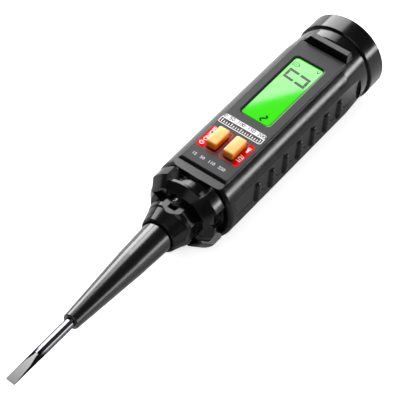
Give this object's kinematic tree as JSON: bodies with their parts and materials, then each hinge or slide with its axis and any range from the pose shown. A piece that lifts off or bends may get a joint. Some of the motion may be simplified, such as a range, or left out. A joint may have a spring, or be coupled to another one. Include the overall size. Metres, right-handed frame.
{
  "type": "voltage tester screwdriver",
  "caption": "Screwdriver-shaped voltage tester: insulated blade in a black handle with lobed guard, lit display, orange push-buttons, torch lamp and battery cover.",
  "frame": {"origin": "the middle of the bounding box's bottom: the tool lies on the flat belly of its handle", "axes": "+X runs along the tool from the blade's tip to the end cap, +Y is to the left seen from the tip looking toward the cap with the display up, +Z stands out of the display panel"},
  "size_m": [0.185, 0.0306, 0.0288],
  "materials": {
    "housing": "satin black moulded ABS",
    "cover": "satin black moulded ABS",
    "screw": "dark zinc-plated steel",
    "blade": "chrome-plated steel",
    "sleeve": "glossy black insulating sleeve",
    "spring": "nickel-plated spring wire",
    "contact": "brass strip",
    "board": "glass-fibre board with green solder mask",
    "chip": "black moulded chip package",
    "resistor": "lacquered resistor body",
    "capacitor": "ceramic capacitor",
    "buzzer": "black buzzer case",
    "button": "orange silicone-like plastic",
    "switch": "black switch housing",
    "plunger": "grey switch stem",
    "window": "clear acrylic window",
    "lcd": "liquid crystal glass over a green backlight",
    "backlight": "clear light guide lit green",
    "backlight_led": "green backlight diode",
    "frame": "black display frame",
    "strip": "conductive rubber strip",
    "overlay": "printed film label",
    "led": "clear epoxy lamp",
    "leads": "tinned lead wire",
    "cell": "dry cell with a printed jacket",
    "tray": "black moulded tray"
  },
  "bodies": {
    "housing": {"front_shell": "housing", "rear_shell": "housing", "housing_screws": "screw", "blade": "blade", "insulating_sleeve": "sleeve", "blade_contact_spring": "spring", "blade_contact_plate": "contact", "circuit_board": "board", "controller_chip": "chip", "limiting_resistor": "resistor", "board_capacitors": "capacitor", "buzzer": "buzzer", "power_switch_base": "switch", "mode_switch_base": "switch", "display_window": "window", "lcd_glass": "lcd", "lcd_backlight": "backlight", "backlight_led": "backlight_led", "lcd_frame": "frame", "lcd_contact_strip": "strip", "panel_overlay": "overlay", "torch_led": "led", "torch_led_leads": "leads", "cell_left": "cell", "cell_right": "cell", "cell_spring_left": "spring", "cell_spring_right": "spring", "battery_bridge": "contact", "battery_terminal_left": "contact", "battery_terminal_right": "contact", "battery_tray": "tray"},
    "power_button": {"power_button": "button"},
    "mode_button": {"mode_button": "button"},
    "power_switch_plunger": {"power_switch_plunger": "plunger"},
    "mode_switch_plunger": {"mode_switch_plunger": "plunger"},
    "battery_cover": {"battery_cover": "cover"},
    "battery_cover_screw": {"battery_cover_screw": "screw"}
  },
  "joints": [
    {"name": "power_button_press", "type": "slide", "parent": "housing", "child": "power_button", "axis": [0, 0, -1], "range_m": [0, 0.0005], "stiffness_N_per_m": 400},
    {"name": "mode_button_press", "type": "slide", "parent": "housing", "child": "mode_button", "axis": [0, 0, -1], "range_m": [0, 0.0005], "stiffness_N_per_m": 400},
    {"name": "power_plunger_press", "type": "slide", "parent": "housing", "child": "power_switch_plunger", "axis": [0, 0, -1], "range_m": [0, 0.0005]},
    {"name": "mode_plunger_press", "type": "slide", "parent": "housing", "child": "mode_switch_plunger", "axis": [0, 0, -1], "range_m": [0, 0.0005]},
    {"name": "battery_cover_lift", "type": "slide", "parent": "housing", "child": "battery_cover", "axis": [0, 0, -1], "range_m": [0, 0.012]},
    {"name": "cover_screw_turn", "type": "hinge", "parent": "battery_cover", "child": "battery_cover_screw", "pos_m": [0.022, 0, 0.003], "axis": [0, 0, -1], "range_deg": [0, 720]}
  ],
  "couplings": [
    {"joint": "power_plunger_press", "follows": "power_button_press", "ratio": 1},
    {"joint": "mode_plunger_press", "follows": "mode_button_press", "ratio": 1}
  ]
}
